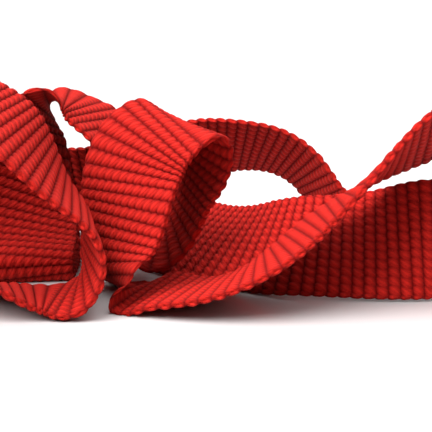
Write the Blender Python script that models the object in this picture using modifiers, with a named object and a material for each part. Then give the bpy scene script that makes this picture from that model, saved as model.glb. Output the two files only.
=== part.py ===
# Length of thick ribbed cotton webbing, dropped in loose loops on a table.
# One strip with two plain cut ends. Lengths here are millimetres until the mesh is made.

import math

import bmesh
import bpy
import numpy as np
from mathutils import Vector

NAME = "webbing_length"
NODE = "webbing"

MM = 0.001
WIDTH = 30.0            # across the strip
THICKNESS = 2.6         # over the ribs of both faces
GROOVE = 0.68           # thickness left between two ribs, as a share of the full one
EDGE = 0.86             # thickness of the woven edge, as a share of the middle
SCALLOP = 0.3           # how far the edge draws in between two ribs
RIB_PITCH = 2.85        # along the strip, from rib to rib
PATH_STEPS = 6000       # fine steps in which the path is measured
SHARP_ANGLE = 50        # degrees
FLOOR = 0.6             # height in the tables at which the cloth is pressed flat
MIDDLE = (-1.6, 40.6)   # middle of the whole heap on the table, in the tables' x and y

COLOUR = (0.62, 0.012, 0.008, 1.0)
ROUGHNESS = 0.85

# Each row is one section across the strip:
# x, y, z of its middle, then the turn of the cross line in plan and its tilt up, in degrees.
BACK_WALL = (
    (-11, 42.5, 8.5, -118, -27),
    (-7.5, 38, 8.5, -116, -27),
    (7.5, 23.5, 9.6, -95, -31),
    (21, 14.5, 12, -95, -43),
    (37, 10.5, 13, -96, -50),
    (54, 5.5, 15.5, -100, -80),
)
RIGHT_CURL = (
    (67, 3.5, 15, 93, -68),
    (83, 0.5, 13, 87, -35),
    (98, -1.5, 12.5, 85, -16),
    (111, -1, 21, 87, -10),
    (115, 1.5, 36, 85, -10),
    (105, 5.5, 50, 84, -10),
    (80, 8.5, 51.5, 82, -22),
)
RAMP = (
    (53, 4, 42, 76, -29),
    (39.5, 0.5, 33.5, 80, -14),
    (32.5, -1, 27.8, 84, -7),
    (25.5, -1.5, 22, 89, -4),
    (12.3, -3.5, 11.6, 90, -5),
    (-3, -1.5, 4.4, 82, -5),
    (-13, 2, 2.8, 88, -1),
    (-22.5, 6, 2.8, 110, 2),
)
FRONT_PANEL = (
    (-25.5, 6.5, 7.5, 119, 1),
    (-25, 8, 12, 129, 0),
    (-22.5, 10.5, 25, 143, 0),
    (-20.3, 13, 33, 149, 1),
    (-16, 15, 39.5, 148, 6),
    (-9, 18.4, 42.4, 142, 12.5),
)
BACK_DROP = (
    (-6.2, 24.5, 34, 126, 3),
    (-7.5, 27.8, 25, 115, 1),
    (-13.5, 31, 11.5, 112, -2),
    (-17, 33, 9, 106, -3),
    (-23.5, 35.5, 9, 92, -2),
    (-28, 44.5, 24.5, 84, -6),
)
SMALL_HUMP = (
    (-32, 48, 38.5, 79, 8),
    (-39.8, 50.3, 44, 81, 0),
    (-46, 49.5, 45.6, 78, -2),
    (-49.8, 48, 41.3, 70, -3),
    (-50.6, 46, 35, 61, -3),
    (-51.2, 41.5, 26, 48, -3),
    (-51.8, 34.5, 17, 32, -1),
    (-51.8, 24.8, 10.3, 17, 0),
    (-51.7, 17.8, 6, 12, 0),
    (-51.7, 18.6, 2.4, 10, 0),
    (-51.9, 24, 1.6, 8, 0),
    (-52, 32, 1.6, 5, 2),
    (-52.5, 43, 2.2, 3, 8),
)
INNER_TURN = (
    (-54, 52.5, 6, 6, 36),
    (-58, 59.5, 11.5, 15, 66),
    (-65, 64.5, 15.6, 50, 84),
    (-81, 59, 15.6, -90, 84),
    (-91, 47, 15.6, -45, 80),
    (-100, 29, 15.8, 0, 79),
    (-105, 10, 16.5, -6, 76),
    (-99, -8, 16, -58, 78),
    (-80, -7, 12.5, -69, 46),
)
NEAR_BEND = (
    (-49, -2, 4, -88, 12),
    (-39, -0.5, 2, -86, 3),
    (-32.8, -1, 4.5, -80, 0),
    (-30, -1.3, 9.5, -76, 0),
    (-29.2, -1.4, 15.5, -76, 2),
    (-30.5, -1.5, 21.5, -82, 3),
    (-34.9, -2.3, 27.5, -87, 1),
    (-40.5, -3.5, 35.5, -94, -6),
    (-47, -4, 44, -100, -12),
    (-60, -1, 52.5, -108, -9),
)
OUTER_TURN = (
    (-72, 3.5, 60, -122, -12),
    (-87, 14, 60.5, -132, 0),
    (-99, 27, 51, -155, 19),
    (-108, 43, 41, 170, 38),
    (-107, 63, 26.5, 125, 58),
    (-93, 78, 20, 95, 71),
    (-69, 79, 17.5, -80, 86),
    (-43, 72.5, 15, -88, 69),
)
REAR_ARCH = (
    (-20.5, 77, 20.5, -97, 57),
    (-3.5, 83, 25.8, -94, 46),
    (9, 84.5, 26.6, -89, 38),
    (20, 85, 24.4, -88, 35),
    (29.5, 84, 17.5, -84, 33),
    (35.5, 83, 9.8, -82, 27),
)
FLAT_TAIL = (
    (44.5, 83, 4.5, -86, 8),
    (59, 84, 1.45, -87, 0),
    (68, 84.5, 1.45, -89, 0),
    (77, 85, 1.45, -90, 0),
)
SECTIONS = (
    BACK_WALL + RIGHT_CURL + RAMP + FRONT_PANEL + BACK_DROP + SMALL_HUMP
    + INNER_TURN + NEAR_BEND + OUTER_TURN + REAR_ARCH + FLAT_TAIL
)


def section_values(rows):
    """Middle point and unit cross line of each section, six numbers a row."""
    table = np.array(rows, dtype=float)
    turn = np.radians(table[:, 3])
    tilt = np.radians(table[:, 4])
    across = np.stack(
        [np.cos(turn) * np.cos(tilt), np.sin(turn) * np.cos(tilt), np.sin(tilt)], axis=1
    )
    return np.concatenate([table[:, :3], across], axis=1)


def smooth_curve(values):
    """Natural cubic spline through the rows, with the chord lengths as its parameter."""
    gaps = np.linalg.norm(np.diff(values[:, :3], axis=0), axis=1)
    knots = np.concatenate([[0.0], np.cumsum(gaps)])
    count = len(values)
    system = np.eye(count)
    target = np.zeros_like(values)
    for i in range(1, count - 1):
        system[i, i - 1] = gaps[i - 1]
        system[i, i] = 2.0 * (gaps[i - 1] + gaps[i])
        system[i, i + 1] = gaps[i]
        rise = (values[i + 1] - values[i]) / gaps[i]
        fall = (values[i] - values[i - 1]) / gaps[i - 1]
        target[i] = 6.0 * (rise - fall)
    bend = np.linalg.solve(system, target)

    def at(place):
        i = np.clip(np.searchsorted(knots, place, side="right") - 1, 0, count - 2)
        gap = gaps[i][:, None]
        left = (knots[i + 1] - place)[:, None]
        right = (place - knots[i])[:, None]
        cubic = (bend[i] * left**3 + bend[i + 1] * right**3) / (6.0 * gap)
        start = (values[i] / gap - bend[i] * gap / 6.0) * left
        stop = (values[i + 1] / gap - bend[i + 1] * gap / 6.0) * right
        return cubic + start + stop

    return at, knots[-1]


def strip_path(rows, pitch):
    """Middle points and cross lines at even steps along the strip, and the strip's length."""
    at, end = smooth_curve(section_values(rows))
    fine = np.linspace(0.0, end, PATH_STEPS)
    steps = np.linalg.norm(np.diff(at(fine)[:, :3], axis=0), axis=1)
    travelled = np.concatenate([[0.0], np.cumsum(steps)])
    length = travelled[-1]
    count = 2 * round(length / pitch)
    places = np.interp(np.linspace(0.0, length, count + 1), travelled, fine)
    samples = at(places)
    middle = samples[:, :3]
    along = np.gradient(middle, axis=0)
    along /= np.linalg.norm(along, axis=1)[:, None]
    across = samples[:, 3:]
    across = across - np.sum(across * along, axis=1)[:, None] * along
    across /= np.linalg.norm(across, axis=1)[:, None]
    return middle, across, length


def cloth_material():
    material = bpy.data.materials.new("red_cotton")
    material.use_nodes = True
    shader = material.node_tree.nodes["Principled BSDF"]
    shader.inputs["Base Color"].default_value = COLOUR
    shader.inputs["Roughness"].default_value = ROUGHNESS
    shader.inputs["Metallic"].default_value = 0.0
    return material


def ribbed_sheet(middle, across):
    """Open surface of the strip: two rows a rib, three points across."""
    rows = len(middle)
    bm = bmesh.new()
    bmesh.ops.create_grid(bm, x_segments=rows - 1, y_segments=2, size=1.0)
    bm.verts.ensure_lookup_table()
    weight = bm.verts.layers.deform.verify()
    for vert in bm.verts:
        row = round((vert.co.x + 1.0) / 2.0 * (rows - 1))
        side = round(vert.co.y)
        crest = row % 2
        reach = WIDTH / 2.0 - (0.0 if crest else SCALLOP)
        vert.co = Vector((middle[row] + across[row] * side * reach) * MM)
        share = 1.0 if crest else GROOVE
        vert[weight][0] = share * (EDGE if side else 1.0)
    mesh = bpy.data.meshes.new(NODE + "_surface")
    bm.to_mesh(mesh)
    bm.free()
    return mesh


def solid_strip(surface, collection):
    """Thickness for the surface, then the flat spots where the heap meets the table."""
    draft = bpy.data.objects.new(NODE + "_surface", surface)
    draft.vertex_groups.new(name="thickness")
    collection.objects.link(draft)
    solidify = draft.modifiers.new("thickness", "SOLIDIFY")
    solidify.thickness = THICKNESS * MM
    solidify.offset = 0.0
    solidify.vertex_group = "thickness"
    graph = bpy.context.evaluated_depsgraph_get()
    mesh = bpy.data.meshes.new_from_object(draft.evaluated_get(graph))
    bpy.data.objects.remove(draft)
    bpy.data.meshes.remove(surface)
    shift = Vector((-MIDDLE[0] * MM, -MIDDLE[1] * MM, -FLOOR * MM))
    for vert in mesh.vertices:
        vert.co += shift
        vert.co.z = max(vert.co.z, 0.0)
    mesh.name = NODE
    piece = bpy.data.objects.new(NODE, mesh)
    collection.objects.link(piece)
    return piece


def main():
    for item in list(bpy.data.objects):
        bpy.data.objects.remove(item)
    collection = bpy.data.collections.new(NAME)
    bpy.context.scene.collection.children.link(collection)
    middle, across, length = strip_path(SECTIONS, RIB_PITCH)
    print(f"strip length {length:.0f} mm in {len(middle)} rows")
    piece = solid_strip(ribbed_sheet(middle, across), collection)
    piece.data.materials.clear()
    piece.data.materials.append(cloth_material())
    piece.data.shade_smooth()
    piece.data.set_sharp_from_angle(angle=math.radians(SHARP_ANGLE))


main()
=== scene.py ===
# Thick red ribbed cotton webbing, lying in loose loops on a pale table.
# Lengths are millimetres until a mesh is made, then metres.
import math

import bmesh
import bpy
import numpy as np
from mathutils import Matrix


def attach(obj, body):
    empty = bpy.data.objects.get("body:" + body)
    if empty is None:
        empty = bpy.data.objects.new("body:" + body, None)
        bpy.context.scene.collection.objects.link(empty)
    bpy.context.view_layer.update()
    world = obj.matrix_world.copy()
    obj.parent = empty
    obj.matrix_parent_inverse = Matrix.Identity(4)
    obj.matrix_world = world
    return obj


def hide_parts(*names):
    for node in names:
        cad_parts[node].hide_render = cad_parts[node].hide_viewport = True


mm = 0.001


# Camera first, so that everything after it is judged through it

camera = {
    "place": (0.0016, -0.3006, 0.0771),
    "tiltDegrees": 78.0,
    "lens": 92.58,
    "sensor": 36.0,
}


def makeCamera(values):
    data = bpy.data.cameras.new("camera")
    data.lens = values["lens"]
    data.sensor_width = values["sensor"]
    data.sensor_fit = "HORIZONTAL"
    data.clip_start = 0.01
    data.clip_end = 60.0
    item = bpy.data.objects.new("camera", data)
    item.location = values["place"]
    item.rotation_euler = (math.radians(values["tiltDegrees"]), 0.0, 0.0)
    bpy.context.scene.collection.objects.link(item)
    bpy.context.scene.camera = item


# Small helpers for node trees


# a node tree with short calls for the nodes that come back often
class Tree:
    def __init__(self, tree):
        self.tree = tree

    def add(self, kind, **settings):
        node = self.tree.nodes.new(kind)
        for key, value in settings.items():
            setattr(node, key, value)
        return node

    def plug(self, value, socket):
        if isinstance(value, bpy.types.NodeSocket):
            self.tree.links.new(value, socket)
        elif value is not None:
            socket.default_value = value

    def calc(self, operation, a, b=None, c=None):
        node = self.add("ShaderNodeMath", operation=operation)
        for value, socket in zip((a, b, c), node.inputs):
            self.plug(value, socket)
        return node.outputs[0]

    def scaled(self, vector, factor):
        node = self.add("ShaderNodeVectorMath", operation="SCALE")
        self.plug(vector, node.inputs[0])
        self.plug(factor, node.inputs["Scale"])
        return node.outputs[0]

    # 0 where place is a whole number and 1 halfway between; a fullness of 0.5 is a half circle
    def roundTop(self, place, fullness=0.5):
        part = self.calc("FRACT", place)
        swing = self.calc("MULTIPLY_ADD", part, 2.0, -1.0)
        square = self.calc("MULTIPLY", swing, swing)
        arch = self.calc("MAXIMUM", self.calc("SUBTRACT", 1.0, square), 0.0)
        return self.calc("POWER", arch, fullness)


def namedInput(tree, name, kind, value=None):
    socket = tree.interface.new_socket(name=name, in_out="INPUT", socket_type=kind)
    if value is not None:
        socket.default_value = value
    return socket


# runs a node tree on an object and returns its result as a plain mesh object
def bakeNodes(item, tree, inputs, name):
    modifier = item.modifiers.new("nodes", "NODES")
    modifier.node_group = tree
    for socket in tree.interface.items_tree:
        if socket.item_type == "SOCKET" and socket.in_out == "INPUT" and socket.name in inputs:
            modifier[socket.identifier] = inputs[socket.name]
    graph = bpy.context.evaluated_depsgraph_get()
    mesh = bpy.data.meshes.new_from_object(item.evaluated_get(graph))
    item.modifiers.remove(modifier)
    mesh.name = name
    result = bpy.data.objects.new(name, mesh)
    bpy.context.scene.collection.objects.link(result)
    return result


def dropObject(item):
    mesh = item.data
    bpy.data.objects.remove(item)
    if mesh.users == 0:
        bpy.data.meshes.remove(mesh)


# The lie of the strip, section by section:
# x, y, z of its middle, then the turn of the cross line in plan and its tilt up, in degrees

strip = {
    "width": 30.0,
    "thickness": 2.6,
    "edgeShare": 0.86,
    "edgeRound": 0.95,
    "ribPitch": 2.85,
    "pathSteps": 6000,
    "nudge": 0.05,
    "floor": 0.6,
    "middle": (-1.6, 40.6),
    "backWall": (
        (-11, 42.5, 8.5, -118, -27),
        (-7.5, 38, 8.5, -116, -27),
        (7.5, 23.5, 9.6, -95, -31),
        (21, 14.5, 12, -95, -43),
        (37, 10.5, 13, -96, -50),
        (54, 5.5, 15.5, -100, -80),
    ),
    "rightCurl": (
        (67, 3.5, 15, 93, -68),
        (83, 0.5, 13, 87, -35),
        (98, -1.5, 12.5, 85, -16),
        (111, -1, 21, 87, -10),
        (115, 1.5, 36, 85, -10),
        (105, 5.5, 50, 84, -10),
        (80, 8.5, 51.5, 82, -22),
    ),
    "ramp": (
        (53, 4, 42, 76, -29),
        (39.5, 0.5, 33.5, 80, -14),
        (32.5, -1, 27.8, 84, -7),
        (25.5, -1.5, 22, 89, -4),
        (12.3, -3.5, 11.6, 90, -5),
        (-3, -1.5, 4.4, 82, -5),
        (-13, 2, 2.8, 88, -1),
        (-22.5, 6, 2.8, 110, 2),
    ),
    "frontPanel": (
        (-25.5, 6.5, 7.5, 119, 1),
        (-25, 8, 12, 129, 0),
        (-22.5, 10.5, 25, 143, 0),
        (-20.3, 13, 33, 149, 1),
        (-16, 15, 39.5, 148, 6),
        (-9, 18.4, 42.4, 142, 12.5),
    ),
    "backDrop": (
        (-6.2, 24.5, 34, 126, 3),
        (-7.5, 27.8, 25, 115, 1),
        (-13.5, 31, 11.5, 112, -2),
        (-17, 33, 9, 106, -3),
        (-23.5, 35.5, 9, 92, -2),
        (-28, 44.5, 24.5, 84, -6),
    ),
    "smallHump": (
        (-32, 48, 38.5, 79, 8),
        (-39.8, 50.3, 44, 81, 0),
        (-46, 49.5, 45.6, 78, -2),
        (-49.8, 48, 41.3, 70, -3),
        (-50.6, 46, 35, 61, -3),
        (-51.2, 41.5, 26, 48, -3),
        (-51.8, 34.5, 17, 32, -1),
        (-51.8, 24.8, 10.3, 17, 0),
        (-51.7, 17.8, 6, 12, 0),
        (-51.7, 18.6, 2.4, 10, 0),
        (-51.9, 24, 1.6, 8, 0),
        (-52, 32, 1.6, 5, 2),
        (-52.5, 43, 2.2, 3, 8),
    ),
    "innerTurn": (
        (-54, 52.5, 6, 6, 36),
        (-58, 59.5, 11.5, 15, 66),
        (-65, 64.5, 15.6, 50, 84),
        (-81, 59, 15.6, -90, 84),
        (-91, 47, 15.6, -45, 80),
        (-100, 29, 15.8, 0, 79),
        (-105, 10, 16.5, -6, 76),
        (-99, -8, 16, -58, 78),
        (-80, -7, 12.5, -69, 46),
    ),
    "nearBend": (
        (-49, -2, 4, -88, 12),
        (-39, -0.5, 2, -86, 3),
        (-32.8, -1, 4.5, -80, 0),
        (-30, -1.3, 9.5, -76, 0),
        (-29.2, -1.4, 15.5, -76, 2),
        (-30.5, -1.5, 21.5, -82, 3),
        (-34.9, -2.3, 27.5, -87, 1),
        (-40.5, -3.5, 35.5, -94, -6),
        (-47, -4, 44, -100, -12),
        (-60, -1, 52.5, -108, -9),
    ),
    "outerTurn": (
        (-72, 3.5, 60, -122, -12),
        (-87, 14, 60.5, -132, 0),
        (-99, 27, 51, -155, 19),
        (-108, 43, 41, 170, 38),
        (-107, 63, 26.5, 125, 58),
        (-93, 78, 20, 95, 71),
        (-69, 79, 17.5, -80, 86),
        (-43, 72.5, 15, -88, 69),
    ),
    "rearArch": (
        (-20.5, 77, 20.5, -97, 57),
        (-3.5, 83, 25.8, -94, 46),
        (9, 84.5, 26.6, -89, 38),
        (20, 85, 24.4, -88, 35),
        (29.5, 84, 17.5, -84, 33),
        (35.5, 83, 9.8, -82, 27),
    ),
    "flatTail": (
        (44.5, 83, 4.5, -86, 8),
        (59, 84, 1.45, -87, 0),
        (68, 84.5, 1.45, -89, 0),
        (77, 85, 1.45, -90, 0),
    ),
}
stripOrder = (
    "backWall", "rightCurl", "ramp", "frontPanel", "backDrop", "smallHump",
    "innerTurn", "nearBend", "outerTurn", "rearArch", "flatTail",
)


def sectionValues(values):
    rows = [row for part in stripOrder for row in values[part]]
    table = np.array(rows, dtype=float)
    turn = np.radians(table[:, 3])
    tilt = np.radians(table[:, 4])
    across = np.stack(
        [np.cos(turn) * np.cos(tilt), np.sin(turn) * np.cos(tilt), np.sin(tilt)], axis=1
    )
    return np.concatenate([table[:, :3], across], axis=1)


# natural cubic spline through the rows, with the chord lengths as its parameter
def smoothCurve(values):
    gaps = np.linalg.norm(np.diff(values[:, :3], axis=0), axis=1)
    knots = np.concatenate([[0.0], np.cumsum(gaps)])
    count = len(values)
    system = np.eye(count)
    target = np.zeros_like(values)
    for i in range(1, count - 1):
        system[i, i - 1] = gaps[i - 1]
        system[i, i] = 2.0 * (gaps[i - 1] + gaps[i])
        system[i, i + 1] = gaps[i]
        rise = (values[i + 1] - values[i]) / gaps[i]
        fall = (values[i] - values[i - 1]) / gaps[i - 1]
        target[i] = 6.0 * (rise - fall)
    bend = np.linalg.solve(system, target)

    def at(place):
        i = np.clip(np.searchsorted(knots, place, side="right") - 1, 0, count - 2)
        gap = gaps[i][:, None]
        left = (knots[i + 1] - place)[:, None]
        right = (place - knots[i])[:, None]
        cubic = (bend[i] * left**3 + bend[i + 1] * right**3) / (6.0 * gap)
        start = (values[i] / gap - bend[i] * gap / 6.0) * left
        stop = (values[i + 1] / gap - bend[i + 1] * gap / 6.0) * right
        return cubic + start + stop

    return at, knots[-1]


# the strip's path, ready to be asked for any place along it, in ribs
def measurePath(values):
    at, end = smoothCurve(sectionValues(values))
    fine = np.linspace(0.0, end, values["pathSteps"])
    steps = np.linalg.norm(np.diff(at(fine)[:, :3], axis=0), axis=1)
    travelled = np.concatenate([[0.0], np.cumsum(steps)])
    length = travelled[-1]
    ribs = round(length / values["ribPitch"])

    # middle, cross line and upper normal
    def frameAt(place):
        def middleAt(where):
            return at(np.interp(where / ribs * length, travelled, fine))
        samples = middleAt(place)
        after = middleAt(np.minimum(place + values["nudge"], ribs))
        before = middleAt(np.maximum(place - values["nudge"], 0.0))
        along = after[:, :3] - before[:, :3]
        along /= np.linalg.norm(along, axis=1)[:, None]
        across = samples[:, 3:]
        across = across - np.sum(across * along, axis=1)[:, None] * along
        across /= np.linalg.norm(across, axis=1)[:, None]
        return samples[:, :3], across, np.cross(along, across)

    return frameAt, ribs, length


# The webbing, cut into five runs of mesh because each stays under 200,000 triangles

weave = {
    "runs": 5,
    "dents": 12,
    "samplesPerDent": 5,
    "samplesInRib": (0.0, 0.07, 0.18, 0.34, 0.5, 0.66, 0.82, 0.93),
    "edgeSamples": 7,
    "grooveDepth": 0.46 * mm,
    "ribFullness": 0.8,
    "dentDepth": 0.42 * mm,
    "dentFullness": 0.7,
    "pinholeDepth": 0.3 * mm,
    "lean": 0.42,
    "zigzag": 0.1,
    "unevenness": 0.12 * mm,
    "edgeSlant": 0.5,
    "edgeGroove": 0.65 * mm,
    "edgeCrease": 0.3 * mm,
    "cellStride": 64.0,
    "seed": 7,
}


# points once round the strip's cut: share across, share of thickness, dent,
# how far on the edge and on which side
def loopTable(values):
    dents = values["dents"]
    count = dents * values["samplesPerDent"]
    loop = []
    for k in range(count + 1):
        loop.append((-1.0 + 2.0 * k / count, 1.0, dents * k / count, 0.0, 0.0))
    turns = values["edgeSamples"] + 1
    for k in range(1, turns):
        angle = math.pi / 2 - math.pi * k / turns
        loop.append((1.0, math.sin(angle), dents + k / turns, math.cos(angle), 1.0))
    for k in range(count + 1):
        loop.append((1.0 - 2.0 * k / count, -1.0, dents + 1 + dents * k / count, 0.0, 0.0))
    for k in range(1, turns):
        angle = -math.pi / 2 + math.pi * k / turns
        loop.append((-1.0, math.sin(angle), 2 * dents + 1 + k / turns, math.cos(angle), -1.0))
    return np.array(loop)


def rowPlaces(first, last, values):
    places = [rib + part for rib in range(first, last) for part in values["samplesInRib"]]
    return np.array(places + [last], dtype=float)


# one run of smooth strip, with the attributes that the weave needs
def bareRun(name, first, last, frameAt):
    places = rowPlaces(first, last, weave)
    middle, across, normal = frameAt(places)
    loop = loopTable(weave)
    half = strip["width"] / 2 - strip["edgeRound"]
    reach = loop[:, 0] * half + loop[:, 4] * loop[:, 3] * strip["edgeRound"]
    thin = 1.0 - (1.0 - strip["edgeShare"]) * np.abs(loop[:, 0])
    rise = loop[:, 1] * strip["thickness"] / 2 * thin
    points = (
        middle[:, None]
        + across[:, None] * reach[None, :, None]
        + normal[:, None] * rise[None, :, None]
    )
    outward = (
        across[:, None] * (loop[:, 4] * loop[:, 3])[None, :, None]
        + normal[:, None] * loop[:, 1][None, :, None]
    )
    points -= np.array([strip["middle"][0], strip["middle"][1], strip["floor"]])
    points[:, :, 2] = np.maximum(points[:, :, 2], 0.0)
    rows, around = points.shape[:2]
    index = np.arange(rows * around).reshape(rows, around)
    following = np.roll(index, -1, axis=1)
    faces = np.stack([index[:-1], index[1:], following[1:], following[:-1]], axis=-1)
    faces = faces.reshape(-1, 4)
    mesh = bpy.data.meshes.new(name)
    caps = [index[0][::-1].tolist(), index[-1].tolist()]
    mesh.from_pydata((points * mm).reshape(-1, 3).tolist(), [], faces.tolist() + caps)

    ribAt = np.repeat(places, around)
    dentAt = np.tile(loop[:, 2], rows)
    writeAttribute(mesh, "rib", "FLOAT", ribAt)
    writeAttribute(mesh, "dent", "FLOAT", dentAt)
    writeAttribute(mesh, "edge", "FLOAT", np.tile(loop[:, 3], rows))
    writeAttribute(mesh, "rise", "FLOAT", np.tile(loop[:, 1], rows))
    writeAttribute(mesh, "outward", "FLOAT_VECTOR", outward.reshape(-1))

    layer = mesh.uv_layers.new(name="weave")
    corner = np.empty(len(mesh.loops), dtype=np.int64)
    mesh.loops.foreach_get("vertex_index", corner)
    place = np.stack([ribAt[corner], dentAt[corner]], axis=1)
    quads = place[: 4 * len(faces)].reshape(-1, 4, 2)
    turned = quads[:, :, 1].max(axis=1) - quads[:, :, 1].min(axis=1) > 2.0
    lastColumn = 2.0 * weave["dents"] + 2.0
    quads[turned, 2:, 1] = lastColumn
    layer.data.foreach_set("uv", place.reshape(-1))
    item = bpy.data.objects.new(name, mesh)
    bpy.context.scene.collection.objects.link(item)
    return item


def writeAttribute(mesh, name, kind, values):
    attribute = mesh.attributes.new(name, kind, "POINT")
    field = "vector" if kind == "FLOAT_VECTOR" else "value"
    attribute.data.foreach_set(field, np.ascontiguousarray(values, dtype=np.float32))


weaveInputs = {
    "Groove Depth": "grooveDepth",
    "Rib Fullness": "ribFullness",
    "Dent Depth": "dentDepth",
    "Dent Fullness": "dentFullness",
    "Pinhole Depth": "pinholeDepth",
    "Lean": "lean",
    "Zigzag": "zigzag",
    "Unevenness": "unevenness",
    "Edge Slant": "edgeSlant",
    "Edge Groove": "edgeGroove",
    "Edge Crease": "edgeCrease",
}


# where a point is across its row of stitches: they lean, and rows step to and fro
def stitchPlace(t, rib, dent, zigzag, lean):
    side = t.calc("COSINE", t.calc("MULTIPLY", t.calc("SUBTRACT", rib, 0.5), math.pi))
    step = t.calc("ADD", dent, t.calc("MULTIPLY", side, zigzag))
    part = t.calc("SUBTRACT", t.calc("FRACT", rib), 0.5)
    return t.calc("ADD", step, t.calc("MULTIPLY", part, lean))


# sinks a smooth strip into ribs, dents and plaited edges
def weaveTree(material):
    group = bpy.data.node_groups.new("ribbedWeave", "GeometryNodeTree")
    group.interface.new_socket(name="Geometry", in_out="OUTPUT", socket_type="NodeSocketGeometry")
    namedInput(group, "Geometry", "NodeSocketGeometry")
    for name in weaveInputs:
        namedInput(group, name, "NodeSocketFloat", 0.0)
    namedInput(group, "Seed", "NodeSocketInt", 0)
    t = Tree(group)
    given = t.add("NodeGroupInput").outputs
    result = t.add("NodeGroupOutput")

    def attribute(name, kind="FLOAT"):
        node = t.add("GeometryNodeInputNamedAttribute", data_type=kind)
        node.inputs["Name"].default_value = name
        return node.outputs["Attribute"]

    rib = attribute("rib")
    dent = attribute("dent")
    edge = attribute("edge")
    rise = attribute("rise")
    outward = attribute("outward", "FLOAT_VECTOR")

    # ribs run straight across, and meet in a chevron along the middle of each edge
    middle = t.calc("SUBTRACT", 1.0, t.calc("ABSOLUTE", rise))
    ribPlace = t.calc("ADD", rib, t.calc("MULTIPLY", middle, given["Edge Slant"]))
    ribTop = t.roundTop(ribPlace, given["Rib Fullness"])
    dentPlace = stitchPlace(t, rib, dent, given["Zigzag"], given["Lean"])
    dentTop = t.roundTop(dentPlace, given["Dent Fullness"])

    # each stitch sits a little higher or lower than its neighbours
    rowStart = t.calc("MULTIPLY", t.calc("FLOOR", rib), weave["cellStride"])
    cell = t.calc("ADD", rowStart, t.calc("FLOOR", dentPlace))
    chance = t.add("FunctionNodeRandomValue", data_type="FLOAT")
    t.plug(cell, chance.inputs["ID"])
    t.plug(given["Seed"], chance.inputs["Seed"])
    uneven = t.calc("MULTIPLY", chance.outputs[1], given["Unevenness"])
    uneven = t.calc("MULTIPLY", uneven, t.calc("MULTIPLY", ribTop, dentTop))

    onFace = t.calc("SUBTRACT", 1.0, edge)
    ribLow = t.calc("SUBTRACT", 1.0, ribTop)
    dentLow = t.calc("SUBTRACT", 1.0, dentTop)
    groove = t.calc("MULTIPLY", ribLow, given["Groove Depth"])
    dip = t.calc("MULTIPLY", dentLow, given["Dent Depth"])
    pinhole = t.calc("MULTIPLY", t.calc("MULTIPLY", ribLow, dentLow), given["Pinhole Depth"])
    faceDepth = t.calc("ADD", t.calc("ADD", groove, dip), t.calc("ADD", pinhole, uneven))
    crease = t.calc("MULTIPLY", t.calc("POWER", middle, 2.0), given["Edge Crease"])
    edgeDepth = t.calc("ADD", t.calc("MULTIPLY", ribLow, given["Edge Groove"]), crease)
    depth = t.calc(
        "ADD", t.calc("MULTIPLY", faceDepth, onFace), t.calc("MULTIPLY", edgeDepth, edge)
    )
    move = t.add("GeometryNodeSetPosition")
    t.plug(given["Geometry"], move.inputs["Geometry"])
    t.plug(t.scaled(outward, t.calc("MULTIPLY", depth, -1.0)), move.inputs["Offset"])
    smooth = t.add("GeometryNodeSetShadeSmooth")
    t.plug(move.outputs[0], smooth.inputs["Geometry"])
    paint = t.add("GeometryNodeSetMaterial")
    paint.inputs["Material"].default_value = material
    t.plug(smooth.outputs[0], paint.inputs["Geometry"])
    real = t.add("GeometryNodeRealizeInstances")
    t.plug(paint.outputs[0], real.inputs[0])
    t.plug(real.outputs[0], result.inputs[0])
    return group


# Dyed cotton: deep red, with painted shade making it darker in the grooves, pinholes and between
# the plies, and a soft bloom of loose fibre

cotton = {
    "red": (0.47, 0.013, 0.008, 1.0),
    # painted shade: a darker copy of the red, painted into the grooves, pinholes and gaps between
    # plies
    "shadedRed": (0.12, 0.0005, 0.0005, 1.0),
    "roughness": 0.85,
    "specular": 0.1,
    "sheen": 0.04,
    "sheenRoughness": 0.4,
    "sheenTint": (1.0, 0.3, 0.24, 1.0),
    "plyTurns": 2.0,
    "plyLean": 0.9,
    "plyRelief": 0.55,
    "plyShade": 0.35,
    "fibreTurns": 7.0,
    "fibreLean": 3.0,
    "fibreRelief": 0.12,
    "grainScale": (3.0, 9.0, 1.0),
    "grainDetail": 3.0,
    "grainRelief": 0.5,
    "grainShade": 0.4,
    # dentShade, plyShade and shadeWidth set the painted shade between dents and plies and how
    # wide it spreads; grainShade is the grain's random tone
    "dentShade": 0.6,
    "shadeWidth": 0.9,
    "bumpDistance": 0.3 * mm,
    "bumpStrength": 1.0,
}


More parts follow.
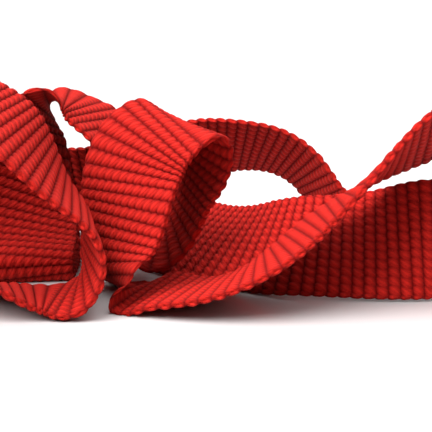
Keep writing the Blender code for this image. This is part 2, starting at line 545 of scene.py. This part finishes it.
def cottonMaterial(values):
    material = bpy.data.materials.new("redCotton")
    material.use_nodes = True
    t = Tree(material.node_tree)
    shader = material.node_tree.nodes["Principled BSDF"]
    shader.inputs["Roughness"].default_value = values["roughness"]
    shader.inputs["Specular IOR Level"].default_value = values["specular"]
    shader.inputs["Sheen Weight"].default_value = values["sheen"]
    shader.inputs["Sheen Roughness"].default_value = values["sheenRoughness"]
    shader.inputs["Sheen Tint"].default_value = values["sheenTint"]
    place = t.add("ShaderNodeUVMap", uv_map="weave")
    split = t.add("ShaderNodeSeparateXYZ")
    t.plug(place.outputs[0], split.inputs[0])
    rib = split.outputs[0]
    dent = split.outputs[1]
    # masks for the painted shade in the grooves between ribs and between dents
    ribTop = t.roundTop(rib, values["shadeWidth"])
    dentPlace = stitchPlace(t, rib, dent, weave["zigzag"], weave["lean"])
    dentTop = t.roundTop(dentPlace, values["shadeWidth"])

    # two plies to a stitch, laid over at a slant
    ribPart = t.calc("FRACT", rib)
    ply = t.calc("MULTIPLY_ADD", dentPlace, values["plyTurns"], None)
    t.plug(t.calc("MULTIPLY", ribPart, values["plyLean"]), ply.node.inputs[2])
    plyTop = t.roundTop(ply)
    fibre = t.calc("MULTIPLY_ADD", dentPlace, values["fibreTurns"], None)
    t.plug(t.calc("MULTIPLY", ribPart, values["fibreLean"]), fibre.node.inputs[2])
    fibreTop = t.roundTop(fibre)
    grain = t.add("ShaderNodeTexNoise", noise_dimensions="2D")
    stretch = t.add("ShaderNodeVectorMath", operation="MULTIPLY")
    t.plug(place.outputs[0], stretch.inputs[0])
    stretch.inputs[1].default_value = values["grainScale"]
    t.plug(stretch.outputs[0], grain.inputs["Vector"])
    grain.inputs["Scale"].default_value = 1.0
    grain.inputs["Detail"].default_value = values["grainDetail"]
    height = t.calc("MULTIPLY", plyTop, values["plyRelief"])
    height = t.calc("ADD", height, t.calc("MULTIPLY", fibreTop, values["fibreRelief"]))
    height = t.calc("ADD", height, t.calc("MULTIPLY", grain.outputs[0], values["grainRelief"]))
    bump = t.add("ShaderNodeBump")
    bump.inputs["Strength"].default_value = values["bumpStrength"]
    bump.inputs["Distance"].default_value = values["bumpDistance"]
    t.plug(height, bump.inputs["Height"])
    t.plug(bump.outputs[0], shader.inputs["Normal"])

    # colour: painted shade, deep in the grooves and between the plies, with the grain's own
    # random speckle on top
    dentShade = t.calc("MULTIPLY_ADD", dentTop, values["dentShade"], 1.0 - values["dentShade"])
    plyShade = t.calc("MULTIPLY_ADD", plyTop, values["plyShade"], 1.0 - values["plyShade"])
    speckle = t.calc("SUBTRACT", grain.outputs[0], 0.5)
    # painted shade from the grooves, dents and plies; the speckle added next is real random tone
    lit = t.calc("MULTIPLY", t.calc("MULTIPLY", ribTop, dentShade), plyShade)
    lit = t.calc("MULTIPLY_ADD", speckle, values["grainShade"], lit)
    blend = t.add("ShaderNodeMix", data_type="RGBA", clamp_factor=True)
    t.plug(lit, blend.inputs["Factor"])
    blend.inputs[6].default_value = values["shadedRed"]
    blend.inputs[7].default_value = values["red"]
    t.plug(blend.outputs[2], shader.inputs["Base Color"])
    return material


def makeWebbing(material):
    frameAt, ribs, length = measurePath(strip)
    print(f"strip of {ribs} ribs, {length:.0f} mm long")
    tree = weaveTree(material)
    inputs = {name: weave[key] for name, key in weaveInputs.items()}
    inputs["Seed"] = weave["seed"]
    runs = []
    stops = [round(ribs * k / weave["runs"]) for k in range(weave["runs"] + 1)]
    for k in range(weave["runs"]):
        first = stops[k]
        last = stops[k + 1]
        bare = bareRun("bare", first, last, frameAt)
        run = bakeNodes(bare, tree, inputs, f"webbing_{k + 1}")
        dropObject(bare)
        for vert in run.data.vertices:
            vert.co.z = max(vert.co.z, 0.0)
        run["lengthOfRun"] = (last - first) * length / ribs * mm
        runs.append(run)
        print(f"webbing run {k + 1}: {len(run.data.polygons)} faces")
    return runs


# Pale table and soft light, with the main light from the upper left in front of the heap

studio = {
    "floorSize": 30.0,
    "floorColour": (0.54, 0.52, 0.52, 1.0),
    "floorRoughness": 0.3,
    "zenithLight": 4.0,
    "skySteepness": 2.6,
    "keyStrength": 5.6,
    "keySoftness": 45.0,
    "keyTurn": (24.0, -32.0, 0.0),
}


def makeStudio(values):
    mesh = bpy.data.meshes.new("floor")
    bm = bmesh.new()
    bmesh.ops.create_grid(bm, x_segments=2, y_segments=2, size=values["floorSize"] / 2)
    bm.to_mesh(mesh)
    bm.free()
    floor = bpy.data.objects.new("floor", mesh)
    bpy.context.scene.collection.objects.link(floor)
    material = bpy.data.materials.new("paleFloor")
    material.use_nodes = True
    shader = material.node_tree.nodes["Principled BSDF"]
    shader.inputs["Base Color"].default_value = values["floorColour"]
    shader.inputs["Roughness"].default_value = values["floorRoughness"]
    mesh.materials.append(material)

    world = bpy.data.worlds.new("sky")
    bpy.context.scene.world = world
    world.use_nodes = True
    t = Tree(world.node_tree)
    sky = world.node_tree.nodes["Background"]
    sky.inputs[0].default_value = (1.0, 1.0, 1.0, 1.0)
    up = t.add("ShaderNodeSeparateXYZ")
    t.plug(t.add("ShaderNodeTexCoord").outputs["Generated"], up.inputs[0])
    height = t.calc("POWER", t.calc("MAXIMUM", up.outputs[2], 0.0), values["skySteepness"])
    t.plug(t.calc("MULTIPLY", height, values["zenithLight"]), sky.inputs[1])

    key = bpy.data.lights.new("key", "SUN")
    key.energy = values["keyStrength"]
    key.angle = math.radians(values["keySoftness"])
    lamp = bpy.data.objects.new("key", key)
    lamp.rotation_euler = [math.radians(turn) for turn in values["keyTurn"]]
    bpy.context.scene.collection.objects.link(lamp)
    bpy.context.scene.view_settings.view_transform = "Standard"
    bpy.context.scene.view_settings.look = "None"


makeCamera(camera)
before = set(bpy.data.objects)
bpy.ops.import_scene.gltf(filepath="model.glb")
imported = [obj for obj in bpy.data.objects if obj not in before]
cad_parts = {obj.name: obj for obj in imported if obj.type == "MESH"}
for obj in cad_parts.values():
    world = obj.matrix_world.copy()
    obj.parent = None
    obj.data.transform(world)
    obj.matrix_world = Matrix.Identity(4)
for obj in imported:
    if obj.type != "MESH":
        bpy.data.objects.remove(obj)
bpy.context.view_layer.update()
print("frame loaded")
redCotton = cottonMaterial(cotton)
runs = makeWebbing(redCotton)
makeStudio(studio)

for run in runs:
    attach(run, "root")
    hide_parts("webbing")
print("pieces placed")
